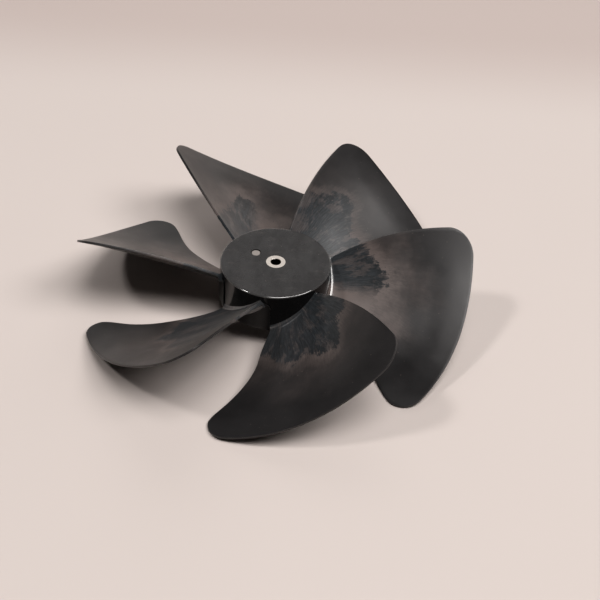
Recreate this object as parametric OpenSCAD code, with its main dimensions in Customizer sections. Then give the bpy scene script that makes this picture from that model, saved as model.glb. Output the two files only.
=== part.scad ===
// Six-blade axial fan impeller, about 400 mm across: a moulded plastic hub and blades
// on a steel shaft bush, standing face up on its six leading tips.

/* [Hub] */
// Outer diameter of the hub
hub_d = 114; // [106:1:120]
// Height of the hub from its front face to its rear rim
hub_h = 42.6; // [40:0.2:46]
// Wall thickness of the hub
hub_wall = 3; // [2.5:0.5:4]
// Thickness of the hub's front disc
disc_t = 3.6; // [3:0.2:5]
// Radius of the rounded rim of the front disc
rim_r = 1.6; // [1:0.2:2]
// Thickness of the ribs behind the disc
rib_t = 2.4; // [2:0.2:3]
// Depth of the ribs behind the disc
rib_h = 24; // [18:1:28]
// Outer diameter of the boss around the bush
boss_d = 32; // [30:1:36]
// Length of the boss behind the disc
boss_h = 33; // [30:1:35]
// How far the moulding stands out under each blade's root
foot_t = 1.2; // [0.8:0.2:1.6]

/* [Shaft bush] */
// Bore diameter
bore_d = 10; // [8:1:12]
// Outer diameter of the bush
bush_d = 20; // [19:0.5:22]
// Length of the bush
bush_l = 40; // [38:0.5:41]
// Depth of the two retaining grooves
groove_depth = 1.2; // [0.8:0.2:1.6]
// Diameter of the set screw
screw_d = 5; // [4:1:5]
// Depth of the set screw's axis below the front face
screw_depth = 30; // [28:0.5:31]
// Diameter of the hole in the hub's wall that lets the driver reach the set screw
access_d = 7; // [6:0.5:8]

/* [Balance plug] */
// Diameter of the balance plug
plug_d = 10.4; // [8:0.2:12]
// Length of the balance plug
plug_l = 8; // [6:0.5:9]
// Distance of the plug from the shaft's axis
plug_radius = 25; // [24:0.5:27]
// Direction of the plug, seen from the front
plug_angle = 148; // [142:1:156]
// Depth of the plug's face below the hub's front face
plug_recess = 0.6; // [0.4:0.2:2]

/* [Blades] */
// Number of blades
blade_count = 6; // [6]
// Diameter over the blade tips
tip_d = 400; // [380:5:420]
// How much further out a tip reaches at its trailing corner than at its leading one
tip_lean = 4; // [0:0.5:6]
// Angle of the first blade's leading edge at the hub
lead_angle = -96; // [-100:1:-92]
// Angle that a blade wraps round the hub
wrap = 54.8; // [52:0.2:55.2]
// How far the trailing edge leans back towards the leading edge at the tip
trail_sweep = 10.4; // [8:0.2:12]
// How far the leading edge sweeps forward at the tip
lead_sweep = 11.2; // [9:0.2:13]
// Angle that the leading edge pulls back where it runs into the hub
lead_pull = 5.6; // [4:0.2:6]
// Depth of the trailing edge below the front face, at the hub
trail_depth = 6.6; // [6:0.2:8]
// Climb of the trailing edge from hub to tip
trail_rise = 43; // [38:1:46]
// How much of that climb comes early
trail_arch = 0.9; // [0.6:0.1:1]
// Depth of the leading edge below the front face, just outside the hub
lead_depth = 51; // [49:0.5:53]
// Further fall of the leading edge towards the tip
lead_drop = 11; // [9:0.5:13]
// Height that the leading edge gains where it runs into the hub
lead_lift = 10; // [9.5:0.5:11]
// Hollow of the blade at the hub
camber_root = 3.5; // [2:0.5:5]
// Hollow of the blade at the tip
camber_tip = 18; // [14:1:20]
// Blade thickness at the hub
root_t = 3; // [2.6:0.2:3.6]
// Blade thickness at the tip
tip_t = 2; // [1.6:0.2:2.6]
// Radius of the leading corner at the tip
lead_corner = 23; // [20:1:30]
// Radius of the trailing corner at the tip
trail_corner = 23; // [16:1:26]

/* [Hidden] */
charcoal = "#3d3a3b";
steel = "#c9c2bc";
grey_steel = "#8f8a86";
$fn = 96;
hub_r = hub_d / 2;
tip_r = tip_d / 2;
inner_r = hub_r - hub_wall;
pitch = 360 / blade_count;
sink = 1;                  // how far the blades and their feet run into the hub's wall
screw_angle = 90;          // the set screw and its access hole point to the back
screw_l = 6;
screw_gap = 0.4;           // the screw is backed off this far from the shaft
bore_chamfer = 0.5;
pocket_r = 8;              // outer radius of the plug's pocket behind the disc
pocket_h = 12;
span_rows = 12;            // rows of facets from the hub to the tip corners
corner_rows = 7;           // rows of facets round the tip corners
chord_cols = 18;           // columns of facets from the leading to the trailing edge
foot_cols = 20;
foot_gap = 1.4;            // angle left between a foot's end and the next blade's root
foot_corner = 6;           // angle over which the foot's top corner is rounded

// --- The blade's surface, in the hub's own heights: the front face is at 0 ---

function smooth(q) = let (c = min(max(q, 0), 1)) c * c * (3 - 2 * c);
function span(r) = min(max((r - hub_r) / (tip_r - hub_r), 0), 1);
// Fades from 1 at the hub to 0 at a quarter of the span
function root_fade(s) = pow(max(1 - s / 0.24, 0), 2);
function trail_a(s) = lead_angle + wrap - trail_sweep * s;
function lead_a(s) = lead_angle - lead_sweep * smooth((s - 0.26) / 0.63) + lead_pull * root_fade(s);
function trail_z(s) = -trail_depth + trail_rise * s * (1 + trail_arch * (1 - s));
function lead_z(s) = -lead_depth - lead_drop * smooth((s - 0.3) / 0.45) + lead_lift * root_fade(s);
function camber(s) = camber_root + (camber_tip - camber_root) * s;
// Place across the blade, from 0 at the leading edge to 1 at the trailing one
function across(r, a) = let (s = span(r)) (a - lead_a(s)) / (trail_a(s) - lead_a(s));
function skin_z(r, a) =
    let (s = span(r), v = across(r, a))
    lead_z(s) + (trail_z(s) - lead_z(s)) * v - camber(s) * 4 * v * (1 - v);
function skin(r, a) =
    let (reach = r + tip_lean * pow(span(r), 4) * (across(r, a) - 0.5))
    [reach * cos(a), reach * sin(a), skin_z(r, a)];
function unit(v) = v / norm(v);
function skin_normal(r, a) =
    unit(cross(skin(r + 0.5, a) - skin(r - 0.5, a), skin(r, a + 0.3) - skin(r, a - 0.3)));
function blade_t(r) = root_t + (tip_t - root_t) * span(r);
function skin_under(r, a) = skin(r, a) - blade_t(r) * skin_normal(r, a);

// Angle that a rounded tip corner of radius c takes off the blade's edge at radius r
function corner_a(r, c) =
    let (q = min(max((r - tip_r + c) / c, 0), 1)) c * (1 - sqrt(1 - q * q)) / tip_r * 180 / PI;
function row_r(i) =
    let (c = max(lead_corner, trail_corner), straight = tip_r - c)
    i <= span_rows ? hub_r - sink + (straight - hub_r + sink) * i / span_rows
                   : straight + c * sin(90 * (i - span_rows) / corner_rows);
function col_a(r, j) =
    let (s = span(r), a0 = lead_a(s) + corner_a(r, lead_corner), a1 = trail_a(s) - corner_a(r, trail_corner))
    a0 + (a1 - a0) * j / chord_cols;

rows = span_rows + corner_rows;
cols = chord_cols;
blade_top = [for (i = [0:rows]) for (j = [0:cols]) skin(row_r(i), col_a(row_r(i), j))];
blade_under = [for (i = [0:rows]) for (j = [0:cols]) skin_under(row_r(i), col_a(row_r(i), j))];
// Height of the hub's front face over the plane that the blades' lowest points stand on
stand = -min([for (p = blade_under) p[2]]);

// Two triangles of a quad, counter-clockwise seen from outside
function quad(a, b, c, d) = [[a, c, b], [a, d, c]];
function grid_id(i, j) = i * (cols + 1) + j;

module blade_skin() {
    n = len(blade_top);
    faces = [
        for (i = [0:rows - 1]) for (j = [0:cols - 1]) each concat(
            quad(grid_id(i, j), grid_id(i + 1, j), grid_id(i + 1, j + 1), grid_id(i, j + 1)),
            quad(n + grid_id(i, j), n + grid_id(i, j + 1), n + grid_id(i + 1, j + 1), n + grid_id(i + 1, j))),
        for (i = [0:rows - 1]) each concat(
            quad(grid_id(i, 0), n + grid_id(i, 0), n + grid_id(i + 1, 0), grid_id(i + 1, 0)),
            quad(grid_id(i + 1, cols), n + grid_id(i + 1, cols), n + grid_id(i, cols), grid_id(i, cols))),
        for (j = [0:cols - 1]) each concat(
            quad(grid_id(0, j + 1), n + grid_id(0, j + 1), n + grid_id(0, j), grid_id(0, j)),
            quad(grid_id(rows, j), n + grid_id(rows, j), n + grid_id(rows, j + 1), grid_id(rows, j + 1)))
    ];
    polyhedron(concat(blade_top, blade_under), faces, convexity = 6);
}

// The foot is the thicker stretch of wall under a blade's root. It ends just short of
// the next blade, where its top corner is rounded.
foot_a0 = lead_a(0) + 1;
foot_a1 = lead_a(0) + pitch - foot_gap;
function foot_top(a) =
    let (root = trail_a(0), over = max(a - (foot_a1 - foot_corner), 0) / foot_corner)
    a < root - 1 ? skin_z(hub_r, a) - root_t / 2
                 : skin_z(hub_r, root - 1) - root_t / 2 - foot_corner * (1 - sqrt(max(1 - over * over, 0)));
function foot_ring(a) = [for (p = [[hub_r - sink, -hub_h], [hub_r + foot_t, -hub_h],
                                   [hub_r + foot_t, foot_top(a)], [hub_r - sink, foot_top(a)]])
                         [p[0] * cos(a), p[0] * sin(a), p[1]]];

module blade_foot() {
    points = [for (k = [0:foot_cols]) each foot_ring(foot_a0 + (foot_a1 - foot_a0) * k / foot_cols)];
    last = 4 * foot_cols;
    faces = concat(
        quad(0, 1, 2, 3),
        quad(last + 3, last + 2, last + 1, last),
        [for (k = [0:foot_cols - 1]) for (m = [0:3])
            each quad(4 * k + m, 4 * k + 4 + m, 4 * k + 4 + (m + 1) % 4, 4 * k + (m + 1) % 4)]);
    polyhedron(points, faces, convexity = 6);
}

module blade(n) {
    color(charcoal) translate([0, 0, stand]) rotate([0, 0, pitch * (n - 1)]) union() {
        blade_skin();
        blade_foot();
    }
}

// --- The hub and what it holds, each in the hub's own heights ---

module shell_profile() {
    difference() {
        union() {
            translate([0, -hub_h]) square([hub_r, hub_h - rim_r]);
            translate([0, -rim_r]) square([hub_r - rim_r, rim_r]);
            translate([hub_r - rim_r, -rim_r]) circle(rim_r);
        }
        translate([0, -hub_h - 1]) square([inner_r, hub_h - disc_t + 1]);
        translate([0, -hub_h]) square([bush_d / 2, hub_h + 1]);
    }
}

module at_plug() {
    rotate([0, 0, plug_angle]) translate([plug_radius, 0, 0]) children();
}

// Points along the set screw's axis, away from the shaft
module at_screw() {
    translate([0, 0, -screw_depth]) rotate([0, 0, screw_angle]) rotate([0, 90, 0]) children();
}

module hub_shell() {
    color(charcoal) translate([0, 0, stand]) difference() {
        union() {
            rotate_extrude() shell_profile();
            at_plug() translate([0, 0, -pocket_h]) cylinder(r = pocket_r, h = pocket_h - disc_t / 2);
        }
        at_plug() translate([0, 0, -plug_recess - plug_l]) cylinder(d = plug_d, h = plug_l + plug_recess + 1);
        at_screw() cylinder(d = access_d, h = hub_r + 5);
    }
}

module bush_body() {
    groove_w = 4;
    difference() {
        translate([0, 0, -bush_l]) cylinder(d = bush_d, h = bush_l);
        for (z = [-14, -24]) translate([0, 0, z]) difference() {
            cylinder(d = bush_d + 2, h = groove_w);
            translate([0, 0, -1]) cylinder(d = bush_d - 2 * groove_depth, h = groove_w + 2);
        }
    }
}

module shaft_bush() {
    color(steel) translate([0, 0, stand]) difference() {
        bush_body();
        translate([0, 0, -bush_l - 1]) cylinder(d = bore_d, h = bush_l + 2);
        translate([0, 0, -bore_chamfer])
            cylinder(r1 = bore_d / 2, r2 = bore_d / 2 + bore_chamfer + 0.1, h = bore_chamfer + 0.1);
        translate([0, 0, -bush_l - 0.1])
            cylinder(r1 = bore_d / 2 + bore_chamfer + 0.1, r2 = bore_d / 2, h = bore_chamfer + 0.1);
        at_screw() cylinder(d = screw_d, h = bush_d);
    }
}

module hub_boss() {
    color(charcoal) translate([0, 0, stand]) difference() {
        translate([0, 0, -disc_t - boss_h]) cylinder(d = boss_d, h = boss_h);
        bush_body();
        at_screw() cylinder(d = screw_d + 1.4, h = boss_d);
    }
}

module hub_ribs() {
    color(charcoal) translate([0, 0, stand]) for (k = [0:blade_count - 1]) {
        intersection() {
            rotate([0, 0, pitch * k]) translate([0, -rib_t / 2, -disc_t - rib_h]) cube([hub_r, rib_t, rib_h]);
            difference() {
                translate([0, 0, -hub_h]) cylinder(r = inner_r, h = hub_h);
                translate([0, 0, -hub_h - 1]) cylinder(d = boss_d, h = hub_h + 2);
            }
        }
    }
}

module set_screw() {
    socket_af = 2.5;
    start = bore_d / 2 + screw_gap;
    color(grey_steel) translate([0, 0, stand]) at_screw() translate([0, 0, start]) difference() {
        cylinder(d = screw_d, h = screw_l);
        translate([0, 0, screw_l - 2.5]) cylinder(d = socket_af / cos(30), h = 3, $fn = 6);
    }
}

module balance_plug() {
    edge = 0.8;
    color(grey_steel) translate([0, 0, stand]) at_plug() translate([0, 0, -plug_recess - plug_l]) {
        cylinder(d = plug_d, h = plug_l - edge);
        translate([0, 0, plug_l - edge]) cylinder(d1 = plug_d, d2 = plug_d - 2 * edge, h = edge);
    }
}

hub_shell();
hub_boss();
hub_ribs();
shaft_bush();
set_screw();
balance_plug();
blade(1);  // blade_1
blade(2);  // blade_2
blade(3);  // blade_3
blade(4);  // blade_4
blade(5);  // blade_5
blade(6);  // blade_6
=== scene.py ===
"""Six-blade axial fan impeller: moulded hub and blades, steel bush, set screw and balance plug."""
import math

import bmesh
import bpy
from bpy.props import FloatProperty, FloatVectorProperty, IntProperty, PointerProperty
from bpy.types import Operator, Panel, PropertyGroup
from mathutils import Matrix, Vector


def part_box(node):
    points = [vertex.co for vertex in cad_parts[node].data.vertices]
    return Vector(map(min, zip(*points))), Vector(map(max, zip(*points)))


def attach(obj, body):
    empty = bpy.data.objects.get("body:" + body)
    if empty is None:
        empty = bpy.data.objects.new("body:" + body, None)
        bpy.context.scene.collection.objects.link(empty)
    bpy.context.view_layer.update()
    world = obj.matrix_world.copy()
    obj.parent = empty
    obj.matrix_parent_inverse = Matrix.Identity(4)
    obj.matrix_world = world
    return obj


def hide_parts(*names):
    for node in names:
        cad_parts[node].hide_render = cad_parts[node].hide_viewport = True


bl_info = {
    "name": "Fan impeller",
    "version": (1, 0, 0),
    "blender": (4, 5, 0),
    "location": "View3D > Sidebar > Impeller",
    "description": "Builds a moulded axial fan impeller round its packed frame",
    "category": "Object",
}

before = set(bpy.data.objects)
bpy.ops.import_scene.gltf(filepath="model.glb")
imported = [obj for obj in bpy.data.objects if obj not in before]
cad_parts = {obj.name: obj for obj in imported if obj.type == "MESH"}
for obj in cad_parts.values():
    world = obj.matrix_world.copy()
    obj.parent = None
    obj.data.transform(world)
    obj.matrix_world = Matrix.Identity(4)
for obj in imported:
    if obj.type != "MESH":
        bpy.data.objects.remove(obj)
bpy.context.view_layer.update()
HUB_LOW, HUB_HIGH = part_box("hub_shell")
BUSH_LOW, BUSH_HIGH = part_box("shaft_bush")
PLUG_LOW, PLUG_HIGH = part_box("balance_plug")
FACE_Z = HUB_HIGH.z         # height of the hub's front face over the floor
HUB_R = HUB_HIGH.x          # outer radius of the hub's wall
RIM_ROUND = 0.0016          # rounding between the front face and the wall
BORE_R = 0.005              # radius of the bush's bore
# The plug's face is painted darker towards its edge: painted shade in its pocket
PLUG_EDGE = 0.005           # distance from the balance plug's axis at which its face is darkest
SUNK = 0.0008               # how far blades and feet reach into the wall, so that no gap shows


# ---------------------------------------------------------------- settings

def length(name, description, value):
    """A length setting in metres."""
    return FloatProperty(name=name, description=description, default=value, min=0.0, unit="LENGTH",
                         precision=5)


def angle(name, description, degrees):
    """An angle setting, its default given in degrees."""
    return FloatProperty(name=name, description=description, default=math.radians(degrees),
                         subtype="ANGLE")


def colour(name, description, value):
    """A colour setting, linear, with alpha."""
    return FloatVectorProperty(name=name, description=description, default=value, size=4, min=0.0,
                               max=1.0, subtype="COLOR")


class BladeShape(PropertyGroup):
    """The blade's driving dimensions, as the frame has them."""

    count: IntProperty(name="Blades", description="Number of blades", default=6, min=1)
    tip_radius: length("Tip radius", "Distance of the tips from the shaft's axis", 0.19996)
    tip_lean: length("Tip lean", "How much further out the tip's trailing corner is", 0.004)
    lead_angle: angle("Leading edge", "Direction of the first blade's leading edge at the hub", -96)
    wrap: angle("Wrap", "Angle that a blade takes round the hub", 54.8)
    trail_sweep: angle("Trailing sweep", "Lean of the trailing edge from hub to tip", 10.4)
    lead_sweep: angle("Leading sweep", "Forward sweep of the leading edge at the tip", 11.2)
    lead_pull: angle("Leading pull", "Pull back of the leading edge at the hub", 5.6)
    trail_depth: length("Trailing depth", "Trailing edge below the front face at the hub", 0.0066)
    trail_rise: length("Trailing rise", "Climb of the trailing edge from hub to tip", 0.04296)
    trail_arch: FloatProperty(name="Trailing arch", description="How early that climb comes", default=0.9)
    lead_depth: length("Leading depth", "Leading edge below the front face outside the hub", 0.051)
    lead_drop: length("Leading drop", "Further fall of the leading edge towards the tip", 0.011)
    lead_lift: length("Leading lift", "Height that the leading edge gains at the hub", 0.01)
    camber_root: length("Root camber", "Hollow of the blade at the hub", 0.0035)
    camber_tip: length("Tip camber", "Hollow of the blade at the tip", 0.018)
    root_thickness: length("Root thickness", "Blade thickness at the hub", 0.003)
    tip_thickness: length("Tip thickness", "Blade thickness at the tip", 0.002)
    lead_corner: length("Leading corner", "Radius of the leading corner at the tip", 0.023)
    trail_corner: length("Trailing corner", "Radius of the trailing corner at the tip", 0.023)
    edge_round: length("Edge round", "Rounding of the blade's rim", 0.0005)
    fillet: length("Root fillet", "Fillet between a blade and the hub", 0.0038)
    foot_proud: length("Foot", "How far the wall stands out under a blade's root", 0.0012)


class Finish(PropertyGroup):
    """Colours of the plastic and the metals."""

    plastic: colour("Plastic", "Charcoal of the moulding", (0.0180, 0.0173, 0.0178, 1))
    bloom: colour("Bloom", "Pale cloud at the edge of a flow mark", (0.150, 0.124, 0.116, 1))
    # Pale grey of the hub's front rim: a painted highlight
    rim_highlight: colour("Painted rim highlight", "Painted highlight of the hub's front rim", (0.14, 0.14, 0.14, 1))
    flow: colour("Flow mark", "Blue-grey inside a flow mark", (0.032, 0.036, 0.040, 1))
    bush: colour("Bush", "Turned steel of the shaft bush", (0.76, 0.71, 0.66, 1))
    plug: colour("Plug", "Dull steel of the balance plug", (0.46, 0.425, 0.40, 1))
    screw: colour("Screw", "Blackened steel of the set screw", (0.06, 0.06, 0.06, 1))


class Studio(PropertyGroup):
    """Floor, lights and camera."""

    aim: FloatVectorProperty(name="Aim", description="Point that the camera looks at",
                             default=(0.0273, -0.0297, 0.040), size=3, subtype="TRANSLATION")
    distance: length("Distance", "Camera to the point that it looks at", 1.268)
    elevation: angle("Elevation", "Camera's height over the floor as an angle", 40.67)
    roll: angle("Roll", "Camera's turn about its own axis", 3.63)
    lens: FloatProperty(name="Lens", description="Focal length in millimetres", default=74.5)
    floor: colour("Floor", "Pale floor", (0.62, 0.562, 0.535, 1))
    # Painted shade of the floor far behind the impeller
    back: colour("Back", "The floor far behind the impeller", (0.525, 0.455, 0.43, 1))
    room: FloatProperty(name="Room", description="Strength of the light from all round", default=0.012)
    walls: FloatProperty(name="Walls", default=0.9,
                         description="Strength of the light from the walls, most of it from behind")
    top_power: FloatProperty(name="Top light", default=150.0,
                             description="Power of the wide light high in front, watts")
    key_power: FloatProperty(name="Key light", default=185.0,
                             description="Power of the wide light high on the right, watts")
    fill_power: FloatProperty(name="Fill light", default=95.0,
                              description="Power of the small light high on the left, watts")
    bounce_power: FloatProperty(name="Bounce light", default=12.0,
                                description="Power of the wide weak light behind, watts")


# ---------------------------------------------------------------- helpers

def settings():
    """The impeller's settings in this scene."""
    return bpy.context.scene.impeller


def smooth(q):
    """0 to 1 with level ends."""
    c = min(max(q, 0.0), 1.0)
    return c * c * (3 - 2 * c)


def finish_piece(bm, name, material, replaced):
    """Turns a bmesh into a piece that rides on the root body and stands for its nodes of the frame."""
    mesh = bpy.data.meshes.new(name)
    bm.to_mesh(mesh)
    bm.free()
    mesh.polygons.foreach_set("use_smooth", [True] * len(mesh.polygons))
    mesh.materials.append(material)
    piece = bpy.data.objects.new(name, mesh)
    bpy.context.scene.collection.objects.link(piece)
    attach(piece, "root")
    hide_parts(*replaced)
    return piece


# ---------------------------------------------------------------- blade surface

class BladeSkin:
    """The surface that all blades share, over the distance from the axis and the angle round it.

    k runs out along the blade from 0 at the hub to 1 at the tip. Heights are from the hub's face.
    """

    ROOT_SPAN = 0.24              # how far out the leading edge still bends in towards its root
    SWEEP_START = 0.26            # where the leading edge begins to sweep forward
    SWEEP_SPAN = 0.63             # how far out it takes to do so
    DROP_START = 0.3              # where it begins its further fall
    DROP_SPAN = 0.45

    def __init__(self, shape):
        self.s = shape

    def span(self, r):
        """k at distance r from the axis."""
        return min(max((r - HUB_R) / (self.s.tip_radius - HUB_R), 0.0), 1.0)

    def root_fade(self, k):
        """1 at the root, falling to 0 where the leading edge has left its bend."""
        return max(1 - k / self.ROOT_SPAN, 0.0) ** 2

    def trail_angle(self, k):
        return self.s.lead_angle + self.s.wrap - self.s.trail_sweep * k

    def lead_angle(self, k):
        sweep = self.s.lead_sweep * smooth((k - self.SWEEP_START) / self.SWEEP_SPAN)
        return self.s.lead_angle - sweep + self.s.lead_pull * self.root_fade(k)

    def trail_z(self, k):
        return -self.s.trail_depth + self.s.trail_rise * k * (1 + self.s.trail_arch * (1 - k))

    def lead_z(self, k):
        drop = self.s.lead_drop * smooth((k - self.DROP_START) / self.DROP_SPAN)
        return -self.s.lead_depth - drop + self.s.lead_lift * self.root_fade(k)

    def point(self, r, across):
        """Point at distance r from the axis, across the blade from 0, leading, to 1, trailing."""
        k = self.span(r)
        a = self.lead_angle(k) + (self.trail_angle(k) - self.lead_angle(k)) * across
        camber = self.s.camber_root + (self.s.camber_tip - self.s.camber_root) * k
        hollow = camber * 4 * across * (1 - across)
        z = self.lead_z(k) + (self.trail_z(k) - self.lead_z(k)) * across - hollow
        reach = r + self.s.tip_lean * k ** 4 * (across - 0.5)
        return Vector((reach * math.cos(a), reach * math.sin(a), FACE_Z + z))

    def normal(self, r, across):
        """Direction away from the upper side of the blade."""
        out = 0.0005
        side = 0.01
        along = self.point(r + out, across) - self.point(r - out, across)
        around = self.point(r, across + side) - self.point(r, across - side)
        return along.cross(around).normalized()

    def thickness(self, r):
        """Thickness of the blade, which thins evenly from root to tip."""
        return self.s.root_thickness + (self.s.tip_thickness - self.s.root_thickness) * self.span(r)

    def fillet(self, d):
        """Height of the root fillet at distance d from the wall."""
        size = self.s.fillet
        d = min(max(d, 0.0), size)
        return size - math.sqrt(size ** 2 - (size - d) ** 2)

    def rounded(self, r, across):
        """Moves a point of the square-cornered blade in to its rounded tip corners."""
        s = self.s
        width = s.tip_radius * (s.wrap + s.lead_sweep - s.trail_sweep)
        for corner, from_edge in ((s.lead_corner, across), (s.trail_corner, 1 - across)):
            x = 1 - from_edge * width / corner
            y = 1 - (s.tip_radius - r) / corner
            if x > 0 and y > 0:
                x_new = x * math.sqrt(1 - y * y / 2)
                y_new = y * math.sqrt(1 - x * x / 2)
                moved = (1 - x_new) * corner / width
                across = moved if from_edge == across else 1 - moved
                r = s.tip_radius - (1 - y_new) * corner
        return r, across


TINY = 1e-6
BLADE_COLS = 60            # faces across a blade
ROOT_ROWS = 14             # rows of faces in the narrow band at the root, where the fillet is
SPAN_ROWS = 54             # rows from there to the tip
ROOT_BAND = 0.0062         # width of that band outside the hub's wall


def lay_grid(bm, skin):
    """A flat grid whose vertices hold their place across the blade and their distance from the axis."""
    rows = ROOT_ROWS + SPAN_ROWS
    start = HUB_R - SUNK
    root_end = HUB_R + ROOT_BAND
    bmesh.ops.create_grid(bm, x_segments=BLADE_COLS, y_segments=rows, size=0.5)
    across_layer = bm.verts.layers.float.new("across")
    radius_layer = bm.verts.layers.float.new("radius")
    for v in bm.verts:
        row = (v.co.y + 0.5) * rows
        if row <= ROOT_ROWS:
            r = start + (root_end - start) * row / ROOT_ROWS
        else:
            r = root_end + (skin.s.tip_radius - root_end) * (row - ROOT_ROWS) / SPAN_ROWS
        r, across = skin.rounded(r, v.co.x + 0.5)
        v[across_layer] = across
        v[radius_layer] = r
    return across_layer, radius_layer


def rim_edges(bm, under, radius_layer):
    """The long edges round a blade's rim, without those that are sunk in the hub's wall."""
    sunk_end = HUB_R - SUNK + TINY

    def is_side(face):
        return len({v in under for v in face.verts}) == 2

    def joins_sides(edge):
        return (edge.verts[0] in under) != (edge.verts[1] in under)

    def is_free(edge):
        return max(v[radius_layer] for v in edge.verts) > sunk_end

    return [e for e in bm.edges
            if not joins_sides(e) and any(is_side(f) for f in e.link_faces) and is_free(e)]


def blade_bmesh(shape):
    """One blade at its first place: a grid laid on the skin, thickened, its rim rounded."""
    skin = BladeSkin(shape)
    bm = bmesh.new()
    across_layer, radius_layer = lay_grid(bm, skin)
    under = set(bm.verts)
    bmesh.ops.extrude_face_region(bm, geom=bm.faces[:])
    for v in bm.verts:
        r, across = v[radius_layer], v[across_layer]
        normal = skin.normal(r, across)
        if v in under:
            deep = skin.thickness(r) + skin.fillet(r - HUB_R - shape.foot_proud)
            v.co = skin.point(r, across) - normal * deep
        else:
            v.co = skin.point(r, across) + normal * skin.fillet(r - HUB_R)
    rim = rim_edges(bm, under, radius_layer)
    bmesh.ops.recalc_face_normals(bm, faces=bm.faces)
    bmesh.ops.bevel(bm, geom=rim, offset=shape.edge_round, segments=3, profile=0.5, affect="EDGES",
                    material=-1, clamp_overlap=True)
    add_foot(bm, skin)
    store_flow(bm, across_layer, radius_layer)
    return bm


FOOT_START = math.radians(1)      # from the leading edge to the foot's first end
FOOT_GAP = math.radians(1.4)      # from the foot's other end to the next blade
FOOT_TUCK = math.radians(1)       # how far short of the trailing edge the foot stops following the root
FOOT_CORNER = math.radians(6)     # width of the rounded corner at its free end
FOOT_FALL = 0.006                 # how far the top falls there
FOOT_ROUND = 0.0004               # rounding of its edges
FOOT_COLS = 48                    # faces along the foot
FOOT_ROWS = 8                     # faces up it
SHARP = 0.8                       # radians between two faces whose edge is rounded


def add_foot(bm, skin):
    """The thicker stretch of wall under the blade's root, with its free top corner rounded."""
    s = skin.s
    lead = skin.lead_angle(0)
    width = skin.trail_angle(0) - lead
    a0 = lead + FOOT_START
    a1 = lead + math.tau / s.count - FOOT_GAP
    low = HUB_LOW.z - FACE_Z
    last = (width - FOOT_TUCK) / width

    def top(a):
        across = min((a - lead) / width, last)
        over = min(max(a - a1 + FOOT_CORNER, 0.0) / FOOT_CORNER, 1.0)
        drop = FOOT_FALL * (1 - math.sqrt(1 - over * over))
        return skin.point(HUB_R, across).z - FACE_Z - s.root_thickness / 2 - drop

    before = set(bm.verts)
    made = bmesh.ops.create_grid(bm, x_segments=FOOT_COLS, y_segments=FOOT_ROWS, size=0.5)["verts"]
    inner = set(made)
    faces = list({f for v in made for f in v.link_faces})
    bmesh.ops.extrude_face_region(bm, geom=faces)
    foot = [v for v in bm.verts if v not in before]
    for v in foot:
        a = a0 + (a1 - a0) * (v.co.x + 0.5)
        z = low + (top(a) - low) * (v.co.y + 0.5)
        r = HUB_R - SUNK if v in inner else HUB_R + s.foot_proud
        v.co = Vector((r * math.cos(a), r * math.sin(a), FACE_Z + z))
    faces = list({f for v in foot for f in v.link_faces})
    bmesh.ops.recalc_face_normals(bm, faces=faces)
    rim = {e for v in foot for e in v.link_edges
           if not (set(e.verts) & inner) and e.calc_face_angle(0.0) > SHARP}
    bmesh.ops.bevel(bm, geom=list(rim), offset=FOOT_ROUND, segments=2, profile=0.5, affect="EDGES",
                    material=-1, clamp_overlap=True)


def store_flow(bm, across_layer, radius_layer):
    """A UV map that follows the blade: across it, and out from the hub, both from 0 to 1.

    The foot, whose vertices have no distance from the axis stored, lies at -1 across.
    """
    uv = bm.loops.layers.uv.new("Flow")
    tip = settings().blade.tip_radius
    for f in bm.faces:
        for loop in f.loops:
            r = loop.vert[radius_layer]
            loop[uv].uv = (loop.vert[across_layer], (r - HUB_R) / (tip - HUB_R)) if r else (-1.0, 0.0)


# ---------------------------------------------------------------- shader graphs

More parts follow.
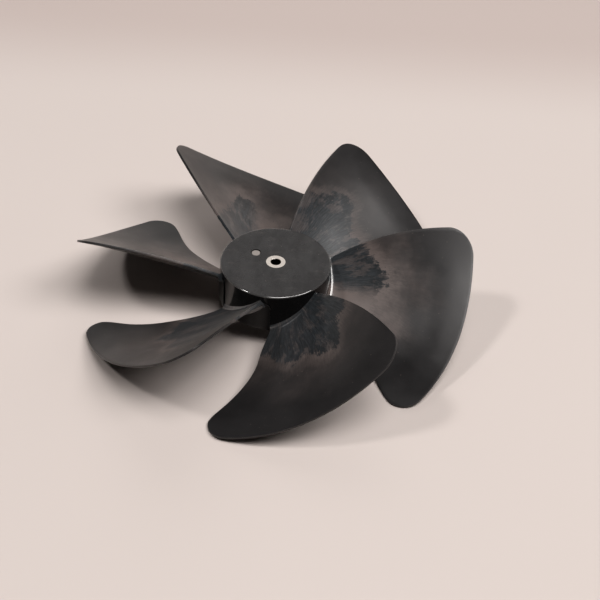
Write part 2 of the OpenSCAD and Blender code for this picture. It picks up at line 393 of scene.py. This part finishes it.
class Graph:
    """A node tree with short calls for the nodes that the finishes are made of."""

    def __init__(self, tree):
        self.tree = tree

    def node(self, kind, **values):
        node = self.tree.nodes.new(kind)
        for name, value in values.items():
            setattr(node, name, value)
        return node

    def feed(self, value, socket):
        """Links an output to a socket, or sets a plain value on it."""
        if isinstance(value, bpy.types.NodeSocket):
            self.tree.links.new(value, socket)
        elif value is not None:
            socket.default_value = value

    def math(self, operation, a, b=None, c=None):
        """One arithmetic node on values or outputs."""
        node = self.node("ShaderNodeMath", operation=operation)
        for value, socket in zip((a, b, c), node.inputs):
            self.feed(value, socket)
        return node.outputs[0]

    def vector(self, x=0.0, y=0.0, z=0.0):
        node = self.node("ShaderNodeCombineXYZ")
        for value, socket in zip((x, y, z), node.inputs):
            self.feed(value, socket)
        return node.outputs[0]

    def split(self, vector):
        node = self.node("ShaderNodeSeparateXYZ")
        self.feed(vector, node.inputs[0])
        return node.outputs

    def radius(self, vector, centre=(0.0, 0.0)):
        """Distance from an upright axis."""
        x, y = self.split(vector)[:2]
        x = self.math("SUBTRACT", x, centre[0])
        y = self.math("SUBTRACT", y, centre[1])
        squares = self.math("ADD", self.math("MULTIPLY", x, x), self.math("MULTIPLY", y, y))
        return self.math("SQRT", squares)

    def ramp(self, value, low, high, to_low=0.0, to_high=1.0):
        """Takes low..high to to_low..to_high with level ends."""
        node = self.node("ShaderNodeMapRange", interpolation_type="SMOOTHSTEP")
        for setting, socket in zip((value, low, high, to_low, to_high), node.inputs):
            self.feed(setting, socket)
        return node.outputs[0]

    def noise(self, vector, scale, detail=3.0, rough=0.55, stretch=None):
        """Noise, finer along an axis where its stretch is above 1."""
        if stretch is not None:
            mapping = self.node("ShaderNodeMapping")
            mapping.inputs["Scale"].default_value = stretch
            self.feed(vector, mapping.inputs["Vector"])
            vector = mapping.outputs[0]
        node = self.node("ShaderNodeTexNoise")
        self.feed(vector, node.inputs["Vector"])
        node.inputs["Scale"].default_value = scale
        node.inputs["Detail"].default_value = detail
        node.inputs["Roughness"].default_value = rough
        return node.outputs["Fac"]

    def curve(self, value, points):
        """A smooth curve through a few points."""
        node = self.node("ShaderNodeFloatCurve")
        line = node.mapping.curves[0]
        for spot, point in zip((line.points[0], line.points[-1]), (points[0], points[-1])):
            spot.location = point
        for x, y in points[1:-1]:
            line.points.new(x, y)
        node.mapping.update()
        self.feed(value, node.inputs["Value"])
        return node.outputs[0]

    def mix(self, factor, a, b):
        """Colour a where the factor is 0, b where it is 1."""
        node = self.node("ShaderNodeMix", data_type="RGBA")
        self.feed(factor, node.inputs["Factor"])
        self.feed(a, node.inputs[6])
        self.feed(b, node.inputs[7])
        return node.outputs[2]

    def bump(self, shader, height, strength, distance):
        """Lets a height tilt the shader's normal."""
        node = self.node("ShaderNodeBump")
        node.inputs["Strength"].default_value = strength
        node.inputs["Distance"].default_value = distance
        self.feed(height, node.inputs["Height"])
        self.feed(node.outputs["Normal"], shader.inputs["Normal"])

    def place(self, group, **inputs):
        """Places a group and feeds its inputs; an underscore stands for a space in their names."""
        node = self.node("ShaderNodeGroup", node_tree=group)
        for name, value in inputs.items():
            self.feed(value, node.inputs[name.replace("_", " ")])
        return node.outputs


SOCKETS = {"value": "NodeSocketFloat", "vector": "NodeSocketVector"}


def new_group(name, inputs, outputs):
    """An empty shader node group, as its graph, its input sockets and a call that feeds an output."""
    group = bpy.data.node_groups.new(name, "ShaderNodeTree")
    for label, kind in inputs:
        group.interface.new_socket(label, in_out="INPUT", socket_type=SOCKETS[kind])
    for label in outputs:
        group.interface.new_socket(label, in_out="OUTPUT", socket_type=SOCKETS["value"])
    graph = Graph(group)
    entry = graph.node("NodeGroupInput")
    leave = graph.node("NodeGroupOutput")
    return graph, entry.outputs, lambda label, value: graph.feed(value, leave.inputs[label])


def moulded_grain():
    """Fine moulded texture: a cloudy tone, pale specks of dust and a height for a bump."""
    graph, given, give = new_group("Moulded grain", [("Vector", "vector")], ["Cloud", "Height", "Dust"])
    vector = given["Vector"]
    fine = graph.noise(vector, 1100, 2, 0.6)
    broad = graph.noise(vector, 170, 3, 0.6)
    give("Cloud", graph.noise(vector, 26, 5, 0.62))
    give("Height", graph.math("MULTIPLY_ADD", fine, 0.4, broad))
    give("Dust", graph.ramp(graph.noise(vector, 330, 1, 0.35), 0.775, 0.80))
    return graph.tree


# How far out a flow mark reaches, from the leading edge to the trailing one
FLOW_FRONT = ((0.0, 0.20), (0.2, 0.27), (0.38, 0.39), (0.5, 0.38), (0.70, 0.50), (0.84, 0.36), (1.0, 0.26))
# Where along that front its dark tongue lies
TONGUE_REACH = ((0.0, 0.0), (0.35, 0.15), (0.55, 0.6), (0.7, 1.0), (0.85, 0.6), (1.0, 0.2))
# What differs from blade to blade: how far out the mark reaches against that front, how far its tip is
# shifted across the blade, and how pale the mark is (below 0: clearer than usual). That paleness is partly
# dust and partly a painted reflection on the blades
BLADE_MARKS = (
    {"reach": 1.05, "shift": 0.0, "pale": 0.05},
    {"reach": 0.87, "shift": 0.0, "pale": 1.4},
    {"reach": 1.15, "shift": 0.05, "pale": -0.3},
    {"reach": 1.2, "shift": -0.16, "pale": 0.9},
    {"reach": 1.0, "shift": 0.0, "pale": 1.3},
    {"reach": 1.5, "shift": 0.03, "pale": -0.3},
)


PATTERN_STEP = 3.7             # from one blade's noise to the next one's, so that no two marks are alike
WAVINESS = 0.34                # how far broad waves push a mark's border in or out
RAGGEDNESS = 0.22              # how far fine teeth do
BORDER = (-0.008, 0.012)       # a mark's border runs between these distances beyond its front
HALO_WIDTH = 0.15              # of the bright ragged band outside a mark
BLOOM_WIDTH = 0.46             # of the faint cloud outside it
TONGUE_DEPTH = 0.20            # how far in from its front a mark is dark
TEETH = (9.0, 1.3, 1.0)        # stretch of the noise that makes the border's teeth
STREAKS = (9.0, 1.1, 1.0)      # stretch of the noise that makes streaks out along the blade


def flow_marks():
    """Marks that the melt leaves on a blade: a blue-grey tongue from the root with a pale ragged halo.

    Blade runs across the blade in X and out from the hub in Y. Turn is the blade's number, Reach how
    far out its mark goes and Shift how far the mark's tip lies from its usual place.
    """
    sockets = [("Blade", "vector"), ("Turn", "value"), ("Reach", "value"), ("Shift", "value")]
    graph, given, give = new_group("Flow marks", sockets,
                                   ["Inside", "Tongue", "Halo", "Bloom", "Smudge", "Root", "Streaks"])
    across, out = graph.split(given["Blade"])[:2]
    turn = graph.math("MULTIPLY", given["Turn"], PATTERN_STEP)
    place = graph.vector(across, out, turn)
    shifted = graph.math("SUBTRACT", across, given["Shift"])
    front = graph.math("MULTIPLY", graph.curve(shifted, FLOW_FRONT), given["Reach"])
    wavy = graph.noise(place, 5.0, 5, 0.72)
    ragged = graph.noise(place, 9.0, 6, 0.8, TEETH)
    beyond = graph.math("SUBTRACT", out, front)
    beyond = graph.math("MULTIPLY_ADD", graph.math("SUBTRACT", wavy, 0.5), WAVINESS, beyond)
    beyond = graph.math("MULTIPLY_ADD", graph.math("SUBTRACT", ragged, 0.5), RAGGEDNESS, beyond)
    inside = graph.ramp(beyond, *BORDER, 1.0, 0.0)
    outside = graph.math("SUBTRACT", 1.0, inside)
    peak = graph.curve(shifted, TONGUE_REACH)
    near = graph.ramp(beyond, -TONGUE_DEPTH, -0.02)
    tongue = graph.math("MULTIPLY", graph.math("MULTIPLY", near, peak), inside)
    patchy = graph.ramp(graph.noise(place, 5.0, 4, 0.65), 0.36, 0.62, 0.25, 1.0)
    streaks = graph.ramp(graph.noise(place, 10.0, 4, 0.7, STREAKS), 0.34, 0.68)
    torn = graph.math("MULTIPLY_ADD", streaks, 0.45, 0.55)
    halo = graph.math("MULTIPLY", graph.ramp(beyond, HALO_WIDTH, 0.0), outside)
    halo = graph.math("MULTIPLY", graph.math("MULTIPLY", halo, patchy), torn)
    bloom = graph.math("MULTIPLY", graph.ramp(beyond, BLOOM_WIDTH, 0.05), outside)
    clouds = graph.ramp(graph.noise(place, 3.2, 4, 0.6), 0.35, 0.65, 0.3, 1.0)
    bloom = graph.math("MULTIPLY", bloom, clouds)
    smudge = graph.ramp(graph.noise(place, 5.5, 5, 0.75, (1.5, 0.8, 1.0)), 0.50, 0.61)
    smudge = graph.math("MULTIPLY", graph.math("MULTIPLY", smudge, inside), torn)
    bent = graph.math("ADD", shifted, graph.math("MULTIPLY", wavy, 0.3))
    root = graph.math("MULTIPLY", graph.ramp(bent, 0.60, 0.82, 1.0, 0.0), inside)
    for label, value in (("Inside", inside), ("Tongue", tongue), ("Halo", halo), ("Bloom", bloom),
                         ("Smudge", smudge), ("Root", root), ("Streaks", streaks)):
        give(label, value)
    return graph.tree


# ---------------------------------------------------------------- materials

COAT_IOR = 1.9             # strong gloss of polished stretches
GRAIN_BUMP = 0.10          # strength of the moulded grain
GRAIN_DEPTH = 0.0002


def principled(name):
    """A new material, its graph and its shader."""
    material = bpy.data.materials.new(name)
    material.use_nodes = True
    return material, Graph(material.node_tree), material.node_tree.nodes["Principled BSDF"]


def shade(tint, factor):
    """A colour made lighter or darker."""
    return tuple(c * factor for c in tint[:3]) + (1.0,)


def object_coords(graph):
    """Metres in the shared frame, because every object stands at its origin."""
    return graph.node("ShaderNodeTexCoord").outputs["Object"]


def plastic_material(grain):
    """Charcoal plastic of the hub: cloudy satin face with dust, a bright rim with a painted highlight, and
    a darker shiny wall with painted shade.
    """
    look = settings().finish
    material, graph, shader = principled("Charcoal plastic")
    coords = object_coords(graph)
    texture = graph.place(grain, Vector=coords)
    base = graph.mix(texture["Cloud"], shade(look.plastic, 0.55), shade(look.plastic, 1.5))
    rubbed = graph.ramp(graph.noise(coords, 45, 6, 0.75, (1.0, 2.6, 1.0)), 0.52, 0.72)
    base = graph.mix(graph.math("MULTIPLY", rubbed, 0.12), base, tuple(look.bloom))
    on_rim = 0.6 * RIM_ROUND
    wall = graph.ramp(graph.radius(coords), HUB_R - RIM_ROUND, HUB_R - on_rim)
    rim = graph.ramp(graph.split(coords)["Z"], FACE_Z - RIM_ROUND, FACE_Z - on_rim)
    rim = graph.math("MULTIPLY", rim, wall)
    face = graph.math("SUBTRACT", 1.0, wall)
    # Painted shade: the side wall is painted darker than the face of the same plastic
    base = graph.mix(graph.math("SUBTRACT", wall, rim), base, shade(look.plastic, 0.5))
    # Painted highlight: the front rim is painted paler all round
    base = graph.mix(graph.math("MULTIPLY", rim, 0.3), base, tuple(look.rim_highlight))
    dust = graph.math("MULTIPLY", texture["Dust"], face)
    base = graph.mix(graph.math("MULTIPLY", dust, 0.5), base, tuple(look.bloom))
    graph.feed(base, shader.inputs["Base Color"])
    rough = graph.ramp(texture["Cloud"], 0.35, 0.65, 0.15, 0.33)
    rough = graph.math("MULTIPLY", rough, graph.math("MULTIPLY_ADD", wall, -0.5, 1.0))
    graph.feed(rough, shader.inputs["Roughness"])
    polish = graph.ramp(graph.noise(coords, 38, 6, 0.7, (1.7, 0.8, 1.0)), 0.34, 0.66, 0.0, 0.16)
    graph.feed(graph.math("MAXIMUM", polish, rim), shader.inputs["Coat Weight"])
    shader.inputs["Coat Roughness"].default_value = 0.14
    shader.inputs["Coat IOR"].default_value = COAT_IOR
    shader.inputs["Specular IOR Level"].default_value = 0.36
    graph.bump(shader, texture["Height"], GRAIN_BUMP, GRAIN_DEPTH)
    return material


def blade_material(grain, marks):
    """The same plastic with the flow marks of a blade, polished in its root fillet, with painted shade on
    the foot.
    """
    look = settings().finish
    material, graph, shader = principled("Blade plastic")
    texture = graph.place(grain, Vector=object_coords(graph))
    given = {name.title(): graph.node("ShaderNodeAttribute", attribute_name=name).outputs["Fac"]
             for name in ("turn", "reach", "shift")}
    blade = graph.node("ShaderNodeUVMap", uv_map="Flow").outputs[0]
    pale = graph.node("ShaderNodeAttribute", attribute_name="pale").outputs["Fac"]
    flow = graph.place(marks, Blade=blade, **given)
    base = graph.mix(texture["Cloud"], shade(look.plastic, 1.0), shade(look.plastic, 1.8))
    # Per-blade paleness of the cloud and the root: partly dust, partly a painted reflection
    veil = graph.math("MULTIPLY_ADD", pale, 0.36, 0.27)
    base = graph.mix(graph.math("MULTIPLY", flow["Bloom"], veil), base, tuple(look.bloom))
    inner = graph.mix(flow["Streaks"], shade(look.flow, 0.65), shade(look.flow, 1.5))
    inner = graph.mix(graph.math("MULTIPLY", flow["Root"], pale), inner, shade(look.bloom, 0.95))
    inner = graph.mix(graph.math("MULTIPLY", flow["Tongue"], 0.48), inner, shade(look.flow, 0.35))
    inner = graph.mix(graph.math("MULTIPLY", flow["Smudge"], 0.45), inner, tuple(look.bloom))
    base = graph.mix(flow["Inside"], base, inner)
    base = graph.mix(graph.math("MULTIPLY", flow["Halo"], 0.85), base, tuple(look.bloom))
    base = graph.mix(graph.math("MULTIPLY", texture["Dust"], 0.4), base, tuple(look.bloom))
    across, out = graph.split(blade)[:2]
    on_blade = graph.ramp(across, -0.6, -0.4)
    # Painted shade: the foot under a blade's root is painted much darker
    base = graph.mix(on_blade, shade(look.plastic, 0.35), base)
    graph.feed(base, shader.inputs["Base Color"])
    rough = graph.ramp(texture["Cloud"], 0.3, 0.7, 0.28, 0.38)
    rough = graph.math("MULTIPLY_ADD", flow["Halo"], 0.12, rough)
    graph.feed(rough, shader.inputs["Roughness"])
    polish = graph.math("MULTIPLY", on_blade, graph.ramp(out, 0.015, 0.035, 1.0, 0.0))
    graph.feed(polish, shader.inputs["Coat Weight"])
    shader.inputs["Coat Roughness"].default_value = 0.12
    shader.inputs["Coat IOR"].default_value = COAT_IOR
    shader.inputs["Specular IOR Level"].default_value = 0.38
    shader.inputs["Sheen Weight"].default_value = 0.08
    shader.inputs["Sheen Roughness"].default_value = 0.35
    shader.inputs["Sheen Tint"].default_value = (1.0, 0.92, 0.86, 1)
    height = graph.math("MULTIPLY_ADD", flow["Streaks"], 0.25, texture["Height"])
    graph.bump(shader, height, GRAIN_BUMP, GRAIN_DEPTH)
    return material


RING_FINENESS = 2600       # of the turning marks, per metre out from the axis
SPECKLE_FINENESS = 900


def steel_material(name, tint, rough, low, high, bore):
    """Turned steel: fine rings round the upright axis of a box.

    A bore is painted dark from the axis out to its radius, as painted shade in the hole. Without one, the
    steel darkens past the plug's edge, as a ring of painted shade where the plug sits in its pocket.
    """
    material, graph, shader = principled(name)
    coords = object_coords(graph)
    centre = ((low.x + high.x) / 2, (low.y + high.y) / 2)
    radius = graph.radius(coords, centre)
    turned = graph.noise(graph.vector(radius), RING_FINENESS, 2, 0.6)
    speckle = graph.noise(coords, SPECKLE_FINENESS, 2, 0.5)
    rings = graph.math("MULTIPLY_ADD", speckle, 0.5, graph.math("MULTIPLY", turned, 0.5))
    base = graph.mix(rings, shade(tint, 0.78), tuple(tint))
    if bore:
        # Painted shade inside the bore
        base = graph.mix(graph.ramp(radius, bore + 0.0001, bore + 0.0004), shade(tint, 0.10), base)
    else:
        # Painted shade: a dark ring round the plug's face where it sits in its pocket
        base = graph.mix(graph.ramp(radius, 0.8 * PLUG_EDGE, PLUG_EDGE), base, shade(tint, 0.35))
    graph.feed(base, shader.inputs["Base Color"])
    shader.inputs["Metallic"].default_value = 1.0
    graph.feed(graph.ramp(rings, 0.3, 0.7, rough - 0.06, rough + 0.06), shader.inputs["Roughness"])
    graph.bump(shader, rings, 0.15, 0.0001)
    return material


FLOOR_HALF = 6.0           # half the width of the floor
# Where the painted shade of the far floor begins and where it is full
FAR_START = 0.42           # how far behind the impeller the floor begins to take its far colour
FAR_END = 0.66             # and where it has it


def floor_material(studio):
    """Pale matt floor, with painted shade that makes it a little darker and warmer far behind the
    impeller.
    """
    material, graph, shader = principled("Pale floor")
    coords = object_coords(graph)
    cloud = graph.noise(coords, 2.2, 3, 0.5)
    depth = graph.math("MULTIPLY_ADD", cloud, 0.05, graph.split(coords)["Y"])
    near = graph.mix(cloud, shade(studio.floor, 0.97), tuple(studio.floor))
    # Painted shade far behind the impeller
    base = graph.mix(graph.ramp(depth, FAR_START, FAR_END), near, tuple(studio.back))
    graph.feed(base, shader.inputs["Base Color"])
    shader.inputs["Roughness"].default_value = 0.8
    shader.inputs["Specular IOR Level"].default_value = 0.2
    return material


# ---------------------------------------------------------------- operators

class IMPELLER_OT_blades(Operator):
    """Build the six blades and their feet."""

    bl_idname = "impeller.blades"
    bl_label = "Blades"

    def execute(self, context):
        shape = settings().blade
        material = bpy.data.materials["Blade plastic"]
        for n in range(shape.count):
            bm = blade_bmesh(shape)
            turn = Matrix.Rotation(math.tau * n / shape.count, 4, "Z")
            bmesh.ops.transform(bm, matrix=turn, verts=bm.verts)
            self.store_mark(bm, turn=n, **BLADE_MARKS[n % len(BLADE_MARKS)])
            node = f"blade_{n + 1}"
            finish_piece(bm, f"{node}_skin", material, [node])
        return {"FINISHED"}

    def store_mark(self, bm, **values):
        """Stores values that are the same all over one blade as attributes of its vertices."""
        for name, value in values.items():
            layer = bm.verts.layers.float.new(name)
            for v in bm.verts:
                v[layer] = value


class IMPELLER_OT_finishes(Operator):
    """Make the materials and give them to the frame's own nodes."""

    bl_idname = "impeller.finishes"
    bl_label = "Finishes"

    def execute(self, context):
        look = settings().finish
        grain = moulded_grain()
        plastic = plastic_material(grain)
        blade_material(grain, flow_marks())
        steels = {
            "shaft_bush": steel_material("Turned steel", look.bush, 0.32, BUSH_LOW, BUSH_HIGH, BORE_R),
            "balance_plug": steel_material("Dull steel", look.plug, 0.36, PLUG_LOW, PLUG_HIGH, 0.0),
            "set_screw": steel_material("Blackened steel", look.screw, 0.45, BUSH_LOW, BUSH_HIGH, 0.0),
        }
        for name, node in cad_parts.items():
            node.data.materials.clear()
            node.data.materials.append(steels.get(name, plastic))
        return {"FINISHED"}


class IMPELLER_OT_stage(Operator):
    """Lay the floor, hang the lights and set the camera."""

    bl_idname = "impeller.stage"
    bl_label = "Stage"

    def execute(self, context):
        studio = settings().studio
        self.floor(studio)
        self.walls(studio)
        self.lamp("top", (0.7, -1.5, 5.2), 2.8, studio.top_power)
        self.lamp("bounce", (0.0, 2.2, 1.8), 2.4, studio.bounce_power)
        self.lamp("key", (3.9, -1.25, 5.3), 3.2, studio.key_power)
        self.lamp("fill", (-3.7, -0.9, 5.6), 0.95, studio.fill_power)
        self.camera(studio)
        return {"FINISHED"}

    def floor(self, studio):
        """A wide level plane that the impeller stands on."""
        bm = bmesh.new()
        bmesh.ops.create_grid(bm, x_segments=1, y_segments=1, size=FLOOR_HALF)
        mesh = bpy.data.meshes.new("floor")
        bm.to_mesh(mesh)
        bm.free()
        mesh.materials.append(floor_material(studio))
        plane = bpy.data.objects.new("floor", mesh)
        bpy.context.scene.collection.objects.link(plane)

    def walls(self, studio):
        """Warm light from low all round, full strength behind and weaker in front."""
        world = bpy.data.worlds.new("Studio")
        bpy.context.scene.world = world
        world.use_nodes = True
        graph = Graph(world.node_tree)
        back = world.node_tree.nodes["Background"]
        back.inputs["Color"].default_value = (1.0, 0.93, 0.88, 1)
        way = graph.split(graph.node("ShaderNodeTexCoord").outputs["Generated"])
        low = graph.ramp(way["Z"], 0.0, 0.4, 1.0, 0.0)
        behind = graph.ramp(way["Y"], 0.0, 0.5, 0.22, 1.0)
        wall = graph.math("MULTIPLY", low, behind)
        strength = graph.math("MULTIPLY_ADD", wall, studio.walls, studio.room)
        graph.feed(strength, back.inputs["Strength"])

    def lamp(self, name, place, size, power):
        """A round lamp that faces the middle of the floor."""
        light = bpy.data.lights.new(name, "AREA")
        light.shape = "DISK"
        light.size = size
        light.energy = power
        light.color = (1.0, 0.97, 0.95)
        lamp = bpy.data.objects.new(name, light)
        lamp.location = place
        lamp.rotation_euler = (-lamp.location).to_track_quat("-Z", "Y").to_euler()
        bpy.context.scene.collection.objects.link(lamp)

    def camera(self, studio):
        """A camera in front of the impeller, above it and a little turned about its own axis."""
        el = studio.elevation
        roll = studio.roll
        forward = Vector((0, math.cos(el), -math.sin(el)))
        level = Vector((1, 0, 0))
        upright = Vector((0, math.sin(el), math.cos(el)))
        right = level * math.cos(roll) + upright * math.sin(roll)
        up = upright * math.cos(roll) - level * math.sin(roll)
        data = bpy.data.cameras.new("camera")
        data.lens = studio.lens
        data.sensor_width = 36
        camera = bpy.data.objects.new("camera", data)
        spot = Vector(studio.aim) - forward * studio.distance
        turn = Matrix((right, up, -forward)).transposed().to_4x4()
        camera.matrix_world = Matrix.Translation(spot) @ turn
        scene = bpy.context.scene
        scene.collection.objects.link(camera)
        scene.camera = camera
        scene.view_settings.view_transform = "Standard"
        scene.view_settings.look = "Medium High Contrast"


class IMPELLER_PT_panel(Panel):
    """Sizes, finishes and the build buttons."""

    bl_idname = "IMPELLER_PT_panel"
    bl_label = "Fan impeller"
    bl_space_type = "VIEW_3D"
    bl_region_type = "UI"
    bl_category = "Impeller"

    def draw(self, context):
        store = context.scene.impeller
        for group in (store.blade, store.finish, store.studio):
            box = self.layout.box()
            for name in group.__annotations__:
                box.prop(group, name)
        for operator in OPERATORS:
            self.layout.operator(operator.bl_idname)


class ImpellerSettings(PropertyGroup):
    """All settings of the impeller."""

    blade: PointerProperty(type=BladeShape)
    finish: PointerProperty(type=Finish)
    studio: PointerProperty(type=Studio)


OPERATORS = (IMPELLER_OT_stage, IMPELLER_OT_finishes, IMPELLER_OT_blades)
CLASSES = (BladeShape, Finish, Studio, ImpellerSettings) + OPERATORS + (IMPELLER_PT_panel,)


def register():
    for cls in CLASSES:
        bpy.utils.register_class(cls)
    bpy.types.Scene.impeller = PointerProperty(type=ImpellerSettings)


def unregister():
    del bpy.types.Scene.impeller
    for cls in reversed(CLASSES):
        bpy.utils.unregister_class(cls)


def main():
    register()
    bpy.ops.impeller.stage()
    bpy.ops.impeller.finishes()
    bpy.ops.impeller.blades()


if __name__ == "__main__":
    main()
